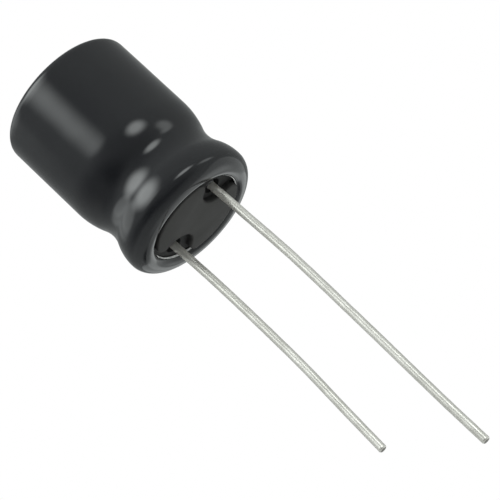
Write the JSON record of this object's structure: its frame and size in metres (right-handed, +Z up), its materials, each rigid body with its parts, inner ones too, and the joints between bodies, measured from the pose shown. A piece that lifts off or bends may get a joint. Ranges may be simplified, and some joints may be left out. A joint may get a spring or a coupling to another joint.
{
  "type": "electrolytic capacitor",
  "caption": "Radial aluminium electrolytic capacitor: a black sleeved round can with a rolled groove, a rubber end seal and long and short wire leads.",
  "frame": {"origin": "centre of the seating plane, where the end seal's pad and the rim of the case meet a circuit board", "axes": "+Z up the can to its closed end, +X towards the anode lead, the longer one"},
  "size_m": [0.0102, 0.0102, 0.0382],
  "materials": {
    "sleeve_film": "glossy heat-shrink film",
    "can_aluminium": "drawn, satin",
    "seal_rubber": "moulded, matt",
    "tinned_wire": "bright tin plate",
    "tab_aluminium": "pressed, bright",
    "anode_foil": "etched, matt",
    "cathode_foil": "etched, satin",
    "separator_paper": "wet kraft paper",
    "winding_tape": "thin film tape"
  },
  "bodies": {
    "root": {"sleeve": "sleeve_film", "can": "can_aluminium", "end_seal": "seal_rubber", "anode_wire": "tinned_wire", "cathode_wire": "tinned_wire", "anode_tab": "tab_aluminium", "cathode_tab": "tab_aluminium", "anode_foil": "anode_foil", "inner_paper": "separator_paper", "cathode_foil": "cathode_foil", "outer_paper": "separator_paper", "winding_tape": "winding_tape"}
  },
  "joints": []
}
